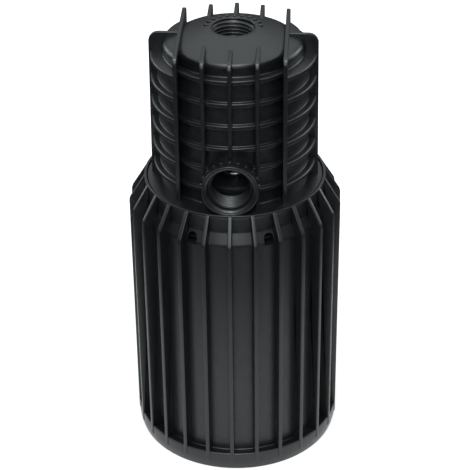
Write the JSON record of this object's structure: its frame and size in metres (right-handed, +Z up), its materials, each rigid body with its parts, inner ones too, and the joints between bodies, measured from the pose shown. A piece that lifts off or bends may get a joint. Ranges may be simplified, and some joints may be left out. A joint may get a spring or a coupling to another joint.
{
  "type": "foot valve",
  "caption": "Ribbed black plastic foot valve: a strainer canister under a ribbed housing with threaded top and side ports and a spring-loaded poppet inside.",
  "frame": {"origin": "centre of the base, on the surface the valve stands on", "axes": "+Z up along the valve's axis, -Y towards the side port"},
  "size_m": [0.1074, 0.108, 0.2298],
  "materials": {
    "housing_plastic": "satin black, fine grain",
    "canister_plastic": "satin black, fine grain",
    "dark_plastic": "moulded dark grey",
    "natural_plastic": "natural acetal",
    "seal_rubber": "matt nitrile rubber",
    "steel": "stainless",
    "screen_steel": "woven stainless wire",
    "brass": "turned brass"
  },
  "bodies": {
    "body": {"upper_housing": "housing_plastic", "strainer_canister": "canister_plastic", "base_grid": "dark_plastic", "seat_plate": "dark_plastic", "guide_cage": "natural_plastic", "filter_frame": "natural_plastic", "filter_end_cap": "natural_plastic", "filter_screen": "screen_steel", "filter_gasket": "seal_rubber", "seat_oring": "seal_rubber", "spring_washer": "steel", "poppet_spring": "steel", "seat_screw_1": "steel", "seat_screw_2": "steel", "seat_screw_3": "steel", "seat_screw_4": "steel", "base_screw_1": "steel", "base_screw_2": "steel", "base_screw_3": "steel", "base_screw_4": "steel"},
    "poppet": {"poppet_disc": "dark_plastic", "poppet_seal": "seal_rubber", "seal_washer": "steel", "poppet_nut": "brass", "poppet_stem": "steel"}
  },
  "joints": [
    {"name": "poppet_lift", "type": "slide", "parent": "body", "child": "poppet", "axis": [0, 0, 1], "range_m": [0, 0.008], "stiffness_N_per_m": 150, "springref_m": -0.004, "deforming": ["poppet_spring"]}
  ]
}
